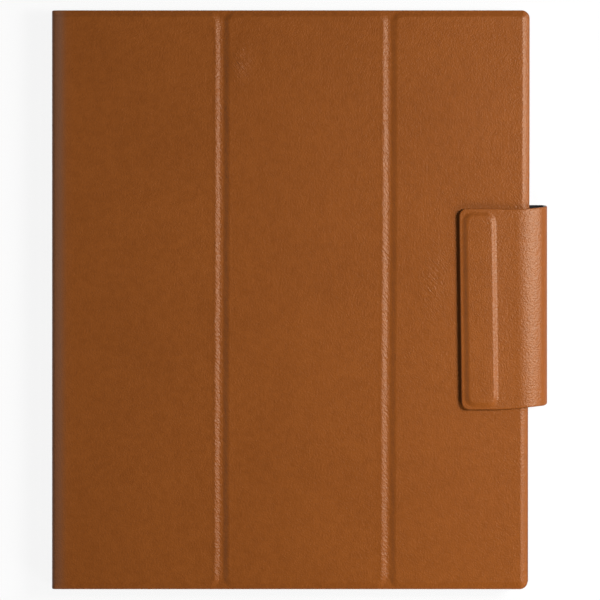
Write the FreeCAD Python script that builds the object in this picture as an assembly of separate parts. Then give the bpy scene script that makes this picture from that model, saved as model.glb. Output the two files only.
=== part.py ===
"""A ten-inch e-reader held in a tri-fold leather folio, closed, lying on its back.

Frame, in millimetres: +X runs from the spine to the fore edge, +Y up the page, +Z out of the front
cover. The origin is under the middle of the closed folio, strap included, on the face it rests on.

The folio is one leather sheet and one lining sheet bonded round stiff boards. Each sheet is made
here as one solid for each stiff panel, with one bonded web for each fold, so that the panels turn.
A strap grows out of the back cover, wraps the fore edge loosely and ends in a magnetic flap that
lies on the front cover. The reader is held on the back cover by magnets.
"""

import FreeCAD, Part
import math
import os

Vec = FreeCAD.Vector

# ---- Reader, outside ----
READER_W = 184.5  # X
READER_H = 225.0  # Y
READER_T = 6.7  # Z
READER_CORNER_R = 9.0
READER_BACK_EDGE_R = 1.1  # rounding of the edge round its back

# ---- Folio, layers ----
LEATHER_T = 0.8
BOARD_T = 1.2
LINING_T = 0.5

# ---- Folio, room round the reader ----
SPINE_GAP = 0.5  # spine lining to the reader's side
FORE_OVERHANG = 3.0  # cover past the reader at the fore edge
END_OVERHANG = 3.0  # cover past the reader at its top and bottom
GLASS_GAP = 0.3  # front lining above the reader's rim

# ---- Folio, relief of the leather over the boards ----
SLOPE_W = 1.7  # slope from a raised panel down to a fold
END_SLOPE_W = 1.9  # the same at the top and bottom of the cover
FORE_SLOPE_W = 2.4  # the same at the fore edge
EDGE_W = 3.0  # free edge to the raised panel
PLATEAU_R = 2.0  # corner radius of a raised panel
COVER_CORNER_R = 3.2  # the two corners at the fore edge
BOARD_INSET = 0.3  # board inside the raised panel's outline

# ---- Folio, spine ----
SPINE_BEND_R = 1.5  # outside radius where the sheet turns from a cover on to the spine
SPINE_WEB_END = 2.0  # spine's outer face to the end of that web
SPINE_SLOPE_END = 4.4  # spine's outer face to the raised panel
SPINE_BOARD_END = 0.7  # spine board short of the turn, each end
SPINE_LINING_RUN = 0.8  # lining's rise over the end of the spine board

# ---- Folio, tri-fold ----
FIRST_FOLD = 68.2  # spine's outer face to the first fold line
SECOND_FOLD = 66.7  # first fold line to the second
FOLD_WEB = 1.2  # half of the width that bends
FOLD_GROOVE = 3.2  # half of the width between two raised panels

# ---- Strap and flap ----
STRAP_H = 80.1  # Y
STRAP_SHIFT = -3.76  # middle of the strap from the middle of the cover
STRAP_REACH = 7.4  # strap's outer face past the cover's fore edge
STRAP_ROOT_R = 3.25  # outside radius where the strap turns up
STRAP_BEND_R = 5.25  # outside radius where it turns over
STRAP_BEND_TURN = 68.0  # degrees taken by that bend
STRAP_DROOP_R = 24.65  # gentle curve that takes the rest of the quarter turn
FLAP_GAP = 0.3  # flap above the front cover
FLAP_REACH = 27.2  # flap's free end in from the fore edge
FLAP_CORNER_R = 3.2
FLAP_EDGE_W = 3.4  # flap's edge to its raised magnet panel
FLAP_SLOPE_W = 2.0
FLAP_PANEL_W = 9.2  # raised magnet panel, X
FLAP_PANEL_R = 1.5
STIFFENER_T = 1.1

# ---- Magnets and steel in the folio ----
MAGNET_FIT = 0.1  # clearance round each magnet in its board
MAGNET_T = 1.0
FLAP_MAGNET = (5.0, 24.0)  # X, Y
FLAP_MAGNET_PITCH = 30.0
KEEPER = (9.0, 66.0)
DOCK_MAGNET = (5.0, 30.0)
DOCK_INSET = (11.25, 52.5)  # middle of a magnet from the reader's side and end
STAND_MAGNET = (4.0, 22.0)
STAND_MAGNET_ENDS = (20.5, 47.5)  # middles of two magnets from each end of the cover
STAND_MAGNET_INSET = 4.0  # middle of a magnet from the board's fore edge
WAKE_MAGNET_R = 3.0
WAKE_INSET = (25.0, 26.5)  # over the reader's cover sensor, from the reader's side and top

# ---- Reader, casing and glass ----
WALL = 1.2
FLOOR = 0.9
RIM_W = 0.8  # metal rim seen round the glass
GLASS_T = 0.75
GLASS_SINK = 0.05  # glass below the rim
FIT = 0.1  # clearance round parts let into the casing
ADHESIVE_T = 0.2
RING_W = 2.4
PLATE_T = 0.6  # chassis plate

# ---- Reader, screen stack ----
TOUCH_T = 0.2
LIGHT_GUIDE_T = 0.6
SCREEN_T = 0.8
DIGITIZER_T = 0.4
SCREEN_SIDE = 9.25  # reader's side to the screen
SCREEN_TOP = 4.0  # reader's top to the screen
SCREEN_BOTTOM = 8.0
TOUCH_SIDE = 3.0  # touch film past the screen, each side
TOUCH_BOTTOM = 1.0
LIGHT_STRIP_END = 8.0  # light strip short of the screen, each end
LIGHT_STRIP_W = 2.6
LIGHT_STRIP_T = 0.4
LIGHT_STRIP_GAP = 0.3

# ---- Reader, inside ----
BATTERY_SIDE = 22.25  # reader's side to the battery
BATTERY_BOTTOM = 28.5  # reader's bottom to the battery
BATTERY_TOP_GAP = 14.0  # battery to the main board
BATTERY_T = 2.1
BATTERY_R = 3.0
BOARD_LIFT = 1.0  # main board above the casing's floor
MAINBOARD_T = 0.6
MAINBOARD_SIDE = 20.25  # reader's side to the main board
MAINBOARD_TOP_GAP = 16.5  # reader's top to the main board
MAINBOARD_H = 66.0
EAR_W = 14.0  # ear of the main board that carries the power switch
EAR_GAP = 3.5  # reader's top to the ear
EAR_ROOT = 4.0  # ear on the main board
SWITCH_INSET = 0.2  # switch short of the ear's edge
SHIELD_H = 0.7
SHIELD_T = 0.15
SHIELD_1 = (28.0, 34.0, 36.0, 34.0)  # from the board's side and top to its middle, width, height
SHIELD_2 = (30.0, 34.0, 30.0, 26.0)
BOSS_R = 2.0
SCREW_R = 0.65
SCREW_FIT = 0.05
SCREW_HEAD_R = 1.4
SCREW_HEAD_T = 0.4
SCREW_DEPTH = 0.8  # thread in its boss
CHASSIS_SCREW_INSET = (6.25, 14.5)  # from the reader's side and end
BOARD_SCREW_INSET = (5.0, 6.0)  # from the main board's side and end
BOARD_SCREW_SHIFT = 17.0  # extra inset of the one beside the cover sensor
SENSOR = (3.0, 2.0, 0.6)
FLEX_T = 0.15
FLEX_FOOT = 6.0  # flex laid on a board
RIBBON_W = 40.0
RIBBON_FOOT = 8.0  # ribbon laid on the main board
RIBBON_BOND = 6.0  # ribbon under the screen
RIBBON_RISE = 38.0  # main board's top edge to where the ribbon rises
RIBBON_ROOM = 1.0  # round the ribbon where it passes the chassis
LEAD_W = 16.0
LEAD_X = 40.0
LEAD_BOND = 8.0  # battery lead on the battery
LEAD_FOOT = 5.0
LEAD_RISE = 4.0  # main board's lower edge to where the lead comes down
SPEAKER = (30.0, 11.0, 2.2)
SPEAKER_SIDE = 27.25  # reader's side to a speaker's middle
SPEAKER_GAP = 0.3
GRILLE_HOLES = 6
GRILLE_PITCH = 2.6
GRILLE_R = 0.5
ANTENNA = (34.0, 5.0, 0.3)
ANTENNA_X = 40.0
ANTENNA_TOP = 6.5  # reader's top to an antenna's middle
READER_MAGNET_T = 1.6

# ---- Reader, socket and button ----
SOCKET_W = 8.94
SOCKET_H = 3.16
SOCKET_DEPTH = 7.3
SOCKET_WALL = 0.3
SOCKET_LIFT = 0.15  # above the casing's floor
SOCKET_ROOM = 0.5  # chassis cut back round the socket
TONGUE = (6.7, 5.0, 0.7)
USB_BOARD = (32.0, 10.0)
USB_BOARD_LIFT = 0.9
USB_BOARD_T = 0.6
USB_SCREW_INSET = (4.0, 6.1)  # from the socket board's side and the edge at the socket
USB_FLEX_W = 5.0
USB_FLEX_RISE = 2.0  # main board's lower edge to where the flex comes down
BUTTON_SIDE = 23.25  # reader's side to the button's middle
BUTTON_W = 12.0
BUTTON_H = 2.0
BUTTON_Z = 2.4  # middle of the button above the reader's back
BUTTON_PROUD = 0.5
BUTTON_FLANGE = 0.8  # flange past the cap each side
BUTTON_LIP = 0.3  # flange past the cap above and below
BUTTON_FLANGE_T = 0.5
BUTTON_REST = 0.05  # flange to the wall's inner face
BUTTON_ROOM = 0.25  # chassis cut back round the button
BUTTON_TRAVEL = 0.35
PLUNGER = (3.0, 0.5)  # X, Z
SWITCH = (4.7, 1.5, 0.7)  # X, Y, Z

# ---- Worked out ----
PANEL_T = LEATHER_T + BOARD_T + LINING_T
WEB_T = LEATHER_T + LINING_T
COVER_W = PANEL_T + SPINE_GAP + READER_W + FORE_OVERHANG
COVER_H = READER_H + 2 * END_OVERHANG
SPINE_X = -(COVER_W + STRAP_REACH) / 2
FORE_X = SPINE_X + COVER_W
END_Y = COVER_H / 2
READER_X = SPINE_X + PANEL_T + SPINE_GAP + READER_W / 2
READER_Z = PANEL_T
FRONT_Z = READER_Z + READER_T + GLASS_GAP
CLOSED_T = FRONT_Z + PANEL_T
FOLD_1_X = SPINE_X + FIRST_FOLD
FOLD_2_X = FOLD_1_X + SECOND_FOLD
PLATEAU_Y = END_Y - EDGE_W
SPINE_TURN_X = SPINE_X + SPINE_BEND_R  # middle of the spine's bends
SPINE_LOW_Z = PANEL_T - WEB_T + SPINE_BEND_R
SPINE_HIGH_Z = CLOSED_T - SPINE_LOW_Z
STRAP_Y = (STRAP_SHIFT - STRAP_H / 2, STRAP_SHIFT + STRAP_H / 2)
STRAP_X = FORE_X + STRAP_REACH  # outer face of its wall
ROOT_Z = PANEL_T - WEB_T  # outer face of the strap where it leaves the back cover
WALL_LOW_Z = ROOT_Z + STRAP_ROOT_R
BEND = math.radians(STRAP_BEND_TURN)
FLAP_Z = CLOSED_T + FLAP_GAP
WALL_HIGH_Z = FLAP_Z + WEB_T - STRAP_BEND_R * math.sin(BEND) - STRAP_DROOP_R * (1 - math.sin(BEND))
FLAP_END_X = STRAP_X - STRAP_BEND_R * (1 - math.cos(BEND)) - STRAP_DROOP_R * math.cos(BEND)
FLAP_X = FORE_X - FLAP_REACH
FLAP_TOP_Z = FLAP_Z + WEB_T + STIFFENER_T
FLAP_MAGNET_X = FLAP_X + FLAP_EDGE_W + FLAP_PANEL_W / 2
INNER_FLOOR_Z = READER_Z + FLOOR
GLASS_Z = READER_Z + READER_T - GLASS_SINK - GLASS_T
TOUCH_Z = GLASS_Z - TOUCH_T
GUIDE_Z = TOUCH_Z - LIGHT_GUIDE_T
SCREEN_Z = GUIDE_Z - SCREEN_T
DIGITIZER_Z = SCREEN_Z - DIGITIZER_T
CHASSIS_Z = DIGITIZER_Z - PLATE_T
RING_TOP_Z = GLASS_Z - ADHESIVE_T
MAINBOARD_Z = INNER_FLOOR_Z + BOARD_LIFT
MAINBOARD_TOP = MAINBOARD_Z + MAINBOARD_T
USB_BOARD_Z = INNER_FLOOR_Z + USB_BOARD_LIFT
SOCKET_Z = INNER_FLOOR_Z + SOCKET_LIFT
READER_TOP_Y = READER_H / 2
READER_SIDE_X = READER_W / 2
SCREEN_X = READER_SIDE_X - SCREEN_SIDE
SCREEN_Y = (SCREEN_BOTTOM - READER_TOP_Y, READER_TOP_Y - SCREEN_TOP)
MAINBOARD_X = READER_SIDE_X - MAINBOARD_SIDE
MAINBOARD_HIGH = READER_TOP_Y - MAINBOARD_TOP_GAP
MAINBOARD_LOW = MAINBOARD_HIGH - MAINBOARD_H
BATTERY_X = READER_SIDE_X - BATTERY_SIDE
BATTERY_Y = (BATTERY_BOTTOM - READER_TOP_Y, MAINBOARD_LOW - BATTERY_TOP_GAP)
BATTERY_TOP = INNER_FLOOR_Z + BATTERY_T
EAR_TOP = READER_TOP_Y - EAR_GAP
RIBBON_Y = MAINBOARD_HIGH - RIBBON_RISE
BUTTON_X = BUTTON_SIDE - READER_SIDE_X
DOCK_PLACES = [
    (side * (READER_SIDE_X - DOCK_INSET[0]), end * (READER_TOP_Y - DOCK_INSET[1]))
    for side in (-1, 1)
    for end in (-1, 1)
]
WAKE_PLACE = (READER_SIDE_X - WAKE_INSET[0], READER_TOP_Y - WAKE_INSET[1])
SHIELDS = (
    (SHIELD_1[0] - MAINBOARD_X, MAINBOARD_HIGH - SHIELD_1[1], SHIELD_1[2], SHIELD_1[3]),
    (MAINBOARD_X - SHIELD_2[0], MAINBOARD_HIGH - SHIELD_2[1], SHIELD_2[2], SHIELD_2[3]),
)
CHASSIS_SCREWS = [
    (side * (READER_SIDE_X - CHASSIS_SCREW_INSET[0]), end * (READER_TOP_Y - CHASSIS_SCREW_INSET[1]))
    for side in (-1, 1)
    for end in (-1, 0, 1)
]
BOARD_SCREW_X = MAINBOARD_X - BOARD_SCREW_INSET[0]
BOARD_SCREWS = (
    (-BOARD_SCREW_X, MAINBOARD_LOW + BOARD_SCREW_INSET[1]),
    (BOARD_SCREW_X, MAINBOARD_LOW + BOARD_SCREW_INSET[1]),
    (-BOARD_SCREW_X, MAINBOARD_HIGH - BOARD_SCREW_INSET[1]),
    (BOARD_SCREW_X - BOARD_SCREW_SHIFT, MAINBOARD_HIGH - BOARD_SCREW_INSET[1]),
)
SOCKET_END_Y = SOCKET_DEPTH - READER_TOP_Y
USB_SCREWS = [
    (side * (USB_BOARD[0] / 2 - USB_SCREW_INSET[0]), SOCKET_END_Y + FIT + USB_SCREW_INSET[1])
    for side in (-1, 1)
]

parts = {}


# ---- Shapes ----
def box(x, y, z):
    """A block between two values on each axis."""
    return Part.makeBox(x[1] - x[0], y[1] - y[0], z[1] - z[0], Vec(x[0], y[0], z[0]))


def block(centre, size, z):
    """A block by its middle in plan, its plan size, and its two heights."""
    half_x, half_y = size[0] / 2, size[1] / 2
    return box((centre[0] - half_x, centre[0] + half_x), (centre[1] - half_y, centre[1] + half_y), z)


def outline(x, y, z, radii):
    """A closed wire round a rectangle. radii: its corners, anticlockwise from low x and low y."""
    corners = ((x[0], y[0]), (x[1], y[0]), (x[1], y[1]), (x[0], y[1]))
    ways = ((0, -1), (1, 0), (0, 1), (-1, 0))  # the way that the outline arrives at each corner
    arcs, ends = [], []
    for n, (cx, cy) in enumerate(corners):
        arrive, leave = ways[n], ways[(n + 1) % 4]
        start = Vec(cx - arrive[0] * radii[n], cy - arrive[1] * radii[n], z)
        end = Vec(cx + leave[0] * radii[n], cy + leave[1] * radii[n], z)
        inset = radii[n] * (1 - math.sqrt(0.5))
        turn = Vec(cx - (arrive[0] - leave[0]) * inset, cy - (arrive[1] - leave[1]) * inset, z)
        arcs.append(Part.Arc(start, turn, end).toShape() if radii[n] > 0 else None)
        ends.append((start, end))
    loop = []
    for n in range(4):
        if arcs[n]:
            loop.append(arcs[n])
        loop.append(Part.makeLine(ends[n][1], ends[(n + 1) % 4][0]))
    return Part.Wire(loop)


def plate(x, y, z, radii=(0, 0, 0, 0)):
    """A flat plate with rounded corners."""
    return Part.Face(outline(x, y, z[0], radii)).extrude(Vec(0, 0, z[1] - z[0]))


def raised(x, y, z, slopes, r):
    """A raised panel: flat top x by y, and sides that slope out to its foot. slopes: low x, high x, y."""
    foot_x = x[0] - slopes[0], x[1] + slopes[1]
    foot_y = y[0] - slopes[2], y[1] + slopes[2]
    foot = outline(foot_x, foot_y, z[0], [r + min(slopes)] * 4)
    return Part.makeLoft([foot, outline(x, y, z[1], [r] * 4)], True, True)


def profile(points, y):
    """A polygon in X and Z, run along Y."""
    wire = Part.makePolygon([Vec(px, y[0], pz) for px, pz in points + points[:1]])
    return Part.Face(wire).extrude(Vec(0, y[1] - y[0], 0))


def side_profile(points, x):
    """A polygon in Y and Z, run along X."""
    wire = Part.makePolygon([Vec(x[0], py, pz) for py, pz in points + points[:1]])
    return Part.Face(wire).extrude(Vec(x[1] - x[0], 0, 0))


def cylinder(x, y, z, r):
    """An upright cylinder."""
    return Part.makeCylinder(r, z[1] - z[0], Vec(x, y, z[0]))


def bend(start, heading, turns, depths, y):
    """A sheet curving to the left of its heading, run along Y.

    start: a point on its outer face. turns: (outer radius, degrees) for each arc in order.
    depths: the two depths of the sheet inside its outer face.
    """
    sides = [[], []]
    ends = [[], []]
    for side, depth in enumerate(depths):
        x, z = start
        angle = math.radians(heading)
        for radius, degrees in turns:
            cx = x - radius * math.sin(angle)
            cz = z + radius * math.cos(angle)
            points = []
            for share in (0, 0.5, 1):
                a = angle + math.radians(degrees) * share
                reach = radius - depth
                points.append(Vec(cx + reach * math.sin(a), y[0], cz - reach * math.cos(a)))
            sides[side].append(Part.Arc(*points).toShape())
            angle += math.radians(degrees)
            x, z = cx + radius * math.sin(angle), cz - radius * math.cos(angle)
            ends[side] += [points[0], points[2]]
    far = Part.makeLine(ends[0][-1], ends[1][-1])
    near = Part.makeLine(ends[1][0], ends[0][0])
    wire = Part.Wire(sides[0] + [far] + sides[1][::-1] + [near])
    return Part.Face(wire).extrude(Vec(0, y[1] - y[0], 0))


def merged(shapes):
    """One shape from several that touch or overlap."""
    whole = shapes[0].multiFuse(shapes[1:]) if len(shapes) > 1 else shapes[0]
    return whole.removeSplitter()


def together(shapes):
    """One shape from several that stay apart, such as a set of like magnets."""
    return Part.makeCompound(shapes)


# ---- Folio panels, first in cover heights: 0 at the lining's face, PANEL_T at the leather's ----
def board_over(top_x):
    """The board under a raised panel."""
    x = top_x[0] + BOARD_INSET, top_x[1] - BOARD_INSET
    y = BOARD_INSET - PLATEAU_Y, PLATEAU_Y - BOARD_INSET
    return plate(x, y, (LINING_T, LINING_T + BOARD_T), [PLATEAU_R - BOARD_INSET] * 4)


def leather_over(x, top_x, slopes, corner_r, tongue=None):
    """Leather over one board: a flat bonded edge and a raised panel, less the board's room."""
    flat = plate(x, (-END_Y, END_Y), (LINING_T, WEB_T), (0, corner_r, corner_r, 0))
    hump = raised(top_x, (-PLATEAU_Y, PLATEAU_Y), (WEB_T, PANEL_T), slopes, PLATEAU_R)
    shapes = [flat, hump]
    if tongue:
        shapes.append(box(tongue, STRAP_Y, (LINING_T, WEB_T)))
    return merged(shapes).cut(board_over(top_x))


def lining_over(x, corner_r, tongue=None):
    """The lining of one panel."""
    flat = plate(x, (-END_Y, END_Y), (0, LINING_T), (0, corner_r, corner_r, 0))
    return merged([flat, box(tongue, STRAP_Y, (0, LINING_T))]) if tongue else flat


def on_front(shape):
    """Lifts a shape from cover heights to the front cover."""
    return shape.translated(Vec(0, 0, FRONT_Z))


def on_back(shape):
    """Turns a shape from cover heights over, on to the back cover."""
    return shape.mirror(Vec(0, 0, 0), Vec(0, 0, 1)).translated(Vec(0, 0, PANEL_T))


def inlay(board, places, size, thickness):
    """Plates let into a board's lining side, as far as their thickness. Gives the board and the plates."""
    z = LINING_T, LINING_T + thickness
    rooms = [block(place, (size[0] + 2 * MAGNET_FIT, size[1] + 2 * MAGNET_FIT), z) for place in places]
    return board.cut(together(rooms)), together([block(place, size, z) for place in places])


def build_covers():
    """The back cover and the three front panels."""
    first = SPINE_X + SPINE_WEB_END
    raised_from = SPINE_X + SPINE_SLOPE_END
    raised_to = FORE_X - EDGE_W
    spine_slope = SPINE_SLOPE_END - SPINE_WEB_END

    top = raised_from, raised_to
    slopes = spine_slope, FORE_SLOPE_W, END_SLOPE_W
    tongue = FORE_X - 1, STRAP_X - STRAP_ROOT_R
    dock = [(READER_X + x, y) for x, y in DOCK_PLACES]
    board, magnets = inlay(board_over(top), dock, DOCK_MAGNET, MAGNET_T)
    parts["back_leather"] = on_back(leather_over((first, FORE_X), top, slopes, COVER_CORNER_R, tongue))
    parts["back_board"] = on_back(board)
    parts["back_lining"] = on_back(lining_over((first, FORE_X), COVER_CORNER_R, tongue))
    parts["dock_magnets"] = on_back(magnets)

    top = raised_from, FOLD_1_X - FOLD_GROOVE
    x = first, FOLD_1_X - FOLD_WEB
    parts["panel_1_leather"] = on_front(leather_over(x, top, (spine_slope, SLOPE_W, END_SLOPE_W), 0))
    parts["panel_1_board"] = on_front(board_over(top))
    parts["panel_1_lining"] = on_front(lining_over(x, 0))

    top = FOLD_1_X + FOLD_GROOVE, FOLD_2_X - FOLD_GROOVE
    x = FOLD_1_X + FOLD_WEB, FOLD_2_X - FOLD_WEB
    parts["panel_2_leather"] = on_front(leather_over(x, top, (SLOPE_W, SLOPE_W, END_SLOPE_W), 0))
    parts["panel_2_board"] = on_front(board_over(top))
    parts["panel_2_lining"] = on_front(lining_over(x, 0))

    top = FOLD_2_X + FOLD_GROOVE, raised_to
    x = FOLD_2_X + FOLD_WEB, FORE_X
    stand_x = raised_to - BOARD_INSET - STAND_MAGNET_INSET
    stand_at = [(stand_x, end * (END_Y - inset)) for end in (-1, 1) for inset in STAND_MAGNET_ENDS]
    board, stand = inlay(board_over(top), stand_at, STAND_MAGNET, MAGNET_T)
    board, keeper = inlay(board, [(FLAP_MAGNET_X, STRAP_SHIFT)], KEEPER, MAGNET_T)
    wake = READER_X + WAKE_PLACE[0], WAKE_PLACE[1]
    room = LINING_T, LINING_T + MAGNET_T
    board = board.cut(cylinder(*wake, room, WAKE_MAGNET_R + MAGNET_FIT))
    leather = leather_over(x, top, (SLOPE_W, FORE_SLOPE_W, END_SLOPE_W), COVER_CORNER_R)
    parts["panel_3_leather"] = on_front(leather)
    parts["panel_3_board"] = on_front(board)
    parts["panel_3_lining"] = on_front(lining_over(x, COVER_CORNER_R))
    parts["stand_magnets"] = on_front(stand)
    parts["keeper_plate"] = on_front(keeper)
    parts["wake_magnet"] = on_front(cylinder(*wake, room, WAKE_MAGNET_R))


def build_folds():
    """The bonded webs that bend between the panels of the front cover."""
    for name, x in (("fold_web_1", FOLD_1_X), ("fold_web_2", FOLD_2_X)):
        web = box((x - FOLD_WEB, x + FOLD_WEB), (-END_Y, END_Y), (0, WEB_T))
        parts[name] = on_front(web)


def build_spine():
    """The stiffened spine, and the web at each side of it."""
    full = -END_Y, END_Y
    x, low, high = SPINE_X, SPINE_LOW_Z, SPINE_HIGH_Z
    board_z = low + SPINE_BOARD_END, high - SPINE_BOARD_END
    board_x = x + LEATHER_T, x + LEATHER_T + BOARD_T
    board = box(board_x, (BOARD_INSET - PLATEAU_Y, PLATEAU_Y - BOARD_INSET), board_z)
    hat = [
        (x + LEATHER_T, low),
        (x + WEB_T, low),
        (x + PANEL_T, low + SPINE_LINING_RUN),
        (x + PANEL_T, high - SPINE_LINING_RUN),
        (x + WEB_T, high),
        (x + LEATHER_T, high),
    ]
    parts["spine_leather"] = box((x, x + LEATHER_T), full, (low, high))
    parts["spine_board"] = board
    parts["spine_lining"] = profile(hat, full).cut(board)

    turn = [(SPINE_BEND_R, 90.0)]
    web_end = x + SPINE_WEB_END
    upper = bend((SPINE_TURN_X, CLOSED_T - ROOT_Z), 180.0, turn, (0, WEB_T), full)
    flat = on_front(box((SPINE_TURN_X, web_end), full, (0, WEB_T)))
    parts["spine_upper_fold"] = merged([upper, flat])
    lower = bend((x, low), -90.0, turn, (0, WEB_T), full)
    flat = on_back(box((SPINE_TURN_X, web_end), full, (0, WEB_T)))
    parts["spine_lower_fold"] = merged([lower, flat])


def build_strap():
    """The strap round the fore edge, and the magnetic flap at its end."""
    parts["strap_root_bend"] = bend(
        (STRAP_X - STRAP_ROOT_R, ROOT_Z), 0.0, [(STRAP_ROOT_R, 90.0)], (0, WEB_T), STRAP_Y
    )
    wall = WALL_LOW_Z, WALL_HIGH_Z
    parts["strap_wall_leather"] = box((STRAP_X - LEATHER_T, STRAP_X), STRAP_Y, wall)
    parts["strap_wall_lining"] = box((STRAP_X - WEB_T, STRAP_X - LEATHER_T), STRAP_Y, wall)
    turns = [(STRAP_BEND_R, STRAP_BEND_TURN), (STRAP_DROOP_R, 90.0 - STRAP_BEND_TURN)]
    parts["strap_top_bend"] = bend((STRAP_X, WALL_HIGH_Z), 90.0, turns, (0, WEB_T), STRAP_Y)

    x = FLAP_X, FLAP_END_X
    corners = FLAP_CORNER_R, 0, 0, FLAP_CORNER_R
    top_x = FLAP_X + FLAP_EDGE_W, FLAP_X + FLAP_EDGE_W + FLAP_PANEL_W
    top_y = STRAP_Y[0] + FLAP_EDGE_W, STRAP_Y[1] - FLAP_EDGE_W
    skin = FLAP_Z + LINING_T, FLAP_Z + WEB_T
    core_x = top_x[0] + BOARD_INSET, top_x[1] - BOARD_INSET
    core_y = top_y[0] + BOARD_INSET, top_y[1] - BOARD_INSET
    core_r = [FLAP_PANEL_R - BOARD_INSET] * 4
    core = plate(core_x, core_y, (skin[0], skin[0] + STIFFENER_T), core_r)
    slopes = FLAP_SLOPE_W, FLAP_SLOPE_W + 0.6, FLAP_SLOPE_W
    hump = raised(top_x, top_y, (skin[1], FLAP_TOP_Z), slopes, FLAP_PANEL_R)
    parts["flap_leather"] = merged([plate(x, STRAP_Y, skin, corners), hump]).cut(core)
    parts["flap_lining"] = plate(x, STRAP_Y, (FLAP_Z, skin[0]), corners)
    places = [(FLAP_MAGNET_X, STRAP_SHIFT + side * FLAP_MAGNET_PITCH / 2) for side in (-1, 1)]
    z = skin[0], skin[0] + MAGNET_T
    room = FLAP_MAGNET[0] + 2 * MAGNET_FIT, FLAP_MAGNET[1] + 2 * MAGNET_FIT
    parts["flap_stiffener"] = core.cut(together([block(place, room, z) for place in places]))
    parts["flap_magnets"] = together([block(place, FLAP_MAGNET, z) for place in places])


# ---- Reader, built about its own middle in plan ----
def inset_plate(inset, z, r=None):
    """A plate inside the reader's outline by an inset, with the corner radius that follows."""
    x, y = READER_W / 2 - inset, READER_H / 2 - inset
    r = READER_CORNER_R - inset if r is None else r
    return plate((-x, x), (-y, y), z, [r] * 4)


def place_reader(name, shape):
    """Puts a finished shape of the reader at its place on the back cover."""
    parts[name] = shape.translated(Vec(READER_X, 0, 0))


def screws(places, seat_z, grip):
    """Like screws: a head on its seat, and a shank through the grip into the boss."""
    made = []
    for x, y in places:
        head = cylinder(x, y, (seat_z, seat_z + SCREW_HEAD_T), SCREW_HEAD_R)
        made.append(merged([head, cylinder(x, y, (seat_z - grip - SCREW_DEPTH, seat_z), SCREW_R)]))
    return made


def screw_holes(places, z):
    """Holes for those screws."""
    return together([cylinder(x, y, z, SCREW_R + SCREW_FIT) for x, y in places])


def button_shapes():
    """The power button, and the room it needs in the wall and in the chassis ring."""
    z = READER_Z + BUTTON_Z
    wall_y = READER_TOP_Y - WALL
    half_x, half_z = BUTTON_W / 2, BUTTON_H / 2
    flange_y = wall_y - BUTTON_REST - BUTTON_FLANGE_T, wall_y - BUTTON_REST
    span_x = BUTTON_X - half_x, BUTTON_X + half_x
    cap = box(span_x, (flange_y[1], READER_TOP_Y + BUTTON_PROUD), (z - half_z, z + half_z))
    flange_x = span_x[0] - BUTTON_FLANGE, span_x[1] + BUTTON_FLANGE
    flange = box(flange_x, flange_y, (z - half_z - BUTTON_LIP, z + half_z + BUTTON_LIP))
    tip_y = EAR_TOP - SWITCH_INSET + BUTTON_TRAVEL + BUTTON_REST
    plunger_z = MAINBOARD_TOP + FIT, MAINBOARD_TOP + FIT + PLUNGER[1]
    plunger = block((BUTTON_X, (tip_y + flange_y[0]) / 2), (PLUNGER[0], flange_y[0] - tip_y), plunger_z)
    slot_x = span_x[0] - FIT, span_x[1] + FIT
    slot = box(slot_x, (wall_y - WALL, READER_TOP_Y + WALL), (z - half_z - FIT, z + half_z + FIT))
    room_x = flange_x[0] - BUTTON_ROOM, flange_x[1] + BUTTON_ROOM
    room_z = CHASSIS_Z - PLATE_T, z + half_z + BUTTON_LIP + BUTTON_ROOM
    room = box(room_x, (EAR_TOP - BUTTON_ROOM, READER_TOP_Y - WALL), room_z)
    return merged([cap, flange, plunger]), slot, room


def build_casing(slot):
    """The metal tray, with its bosses, socket opening, button slot and speaker holes."""
    top = READER_Z + READER_T
    body = inset_plate(0, (READER_Z, top))
    low_edges = [edge for edge in body.Edges if edge.BoundBox.ZMax < READER_Z + 0.01]
    body = body.makeFillet(READER_BACK_EDGE_R, low_edges)
    body = body.cut(inset_plate(WALL, (INNER_FLOOR_Z, top)))
    body = body.cut(inset_plate(RIM_W, (GLASS_Z - GLASS_SINK, top)))
    bosses = [cylinder(x, y, (INNER_FLOOR_Z, CHASSIS_Z), BOSS_R) for x, y in CHASSIS_SCREWS]
    bosses += [cylinder(x, y, (INNER_FLOOR_Z, MAINBOARD_Z), BOSS_R) for x, y in BOARD_SCREWS]
    bosses += [cylinder(x, y, (INNER_FLOOR_Z, USB_BOARD_Z), BOSS_R) for x, y in USB_SCREWS]
    body = merged([body] + bosses)
    body = body.cut(screw_holes(CHASSIS_SCREWS, (CHASSIS_Z - SCREW_DEPTH - FIT, CHASSIS_Z)))
    body = body.cut(screw_holes(BOARD_SCREWS, (MAINBOARD_Z - SCREW_DEPTH - FIT, MAINBOARD_Z)))
    body = body.cut(screw_holes(USB_SCREWS, (USB_BOARD_Z - SCREW_DEPTH - FIT, USB_BOARD_Z)))
    body = body.cut(slot).cut(socket_outline(FIT, -READER_TOP_Y - WALL, 2 * WALL))
    holes = []
    for side in (-1, 1):
        for n in range(GRILLE_HOLES):
            x = side * (READER_SIDE_X - SPEAKER_SIDE) + (n - (GRILLE_HOLES - 1) / 2) * GRILLE_PITCH
            start = Vec(x, -READER_TOP_Y - WALL, INNER_FLOOR_Z + SPEAKER[2] / 2)
            holes.append(Part.makeCylinder(GRILLE_R, 2 * WALL + FIT, start, Vec(0, 1, 0)))
    place_reader("reader_casing", body.cut(together(holes)))


def socket_outline(grow, y, depth):
    """The round-ended block of the socket, or with grow the opening for it."""
    half_w, half_h = SOCKET_W / 2 + grow, SOCKET_H / 2 + grow
    middle = SOCKET_Z + SOCKET_H / 2
    core = box((half_h - half_w, half_w - half_h), (y, y + depth), (middle - half_h, middle + half_h))
    ends = []
    for side in (-1, 1):
        start = Vec(side * (half_w - half_h), y, middle)
        ends.append(Part.makeCylinder(half_h, depth, start, Vec(0, 1, 0)))
    return merged([core] + ends)


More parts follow.
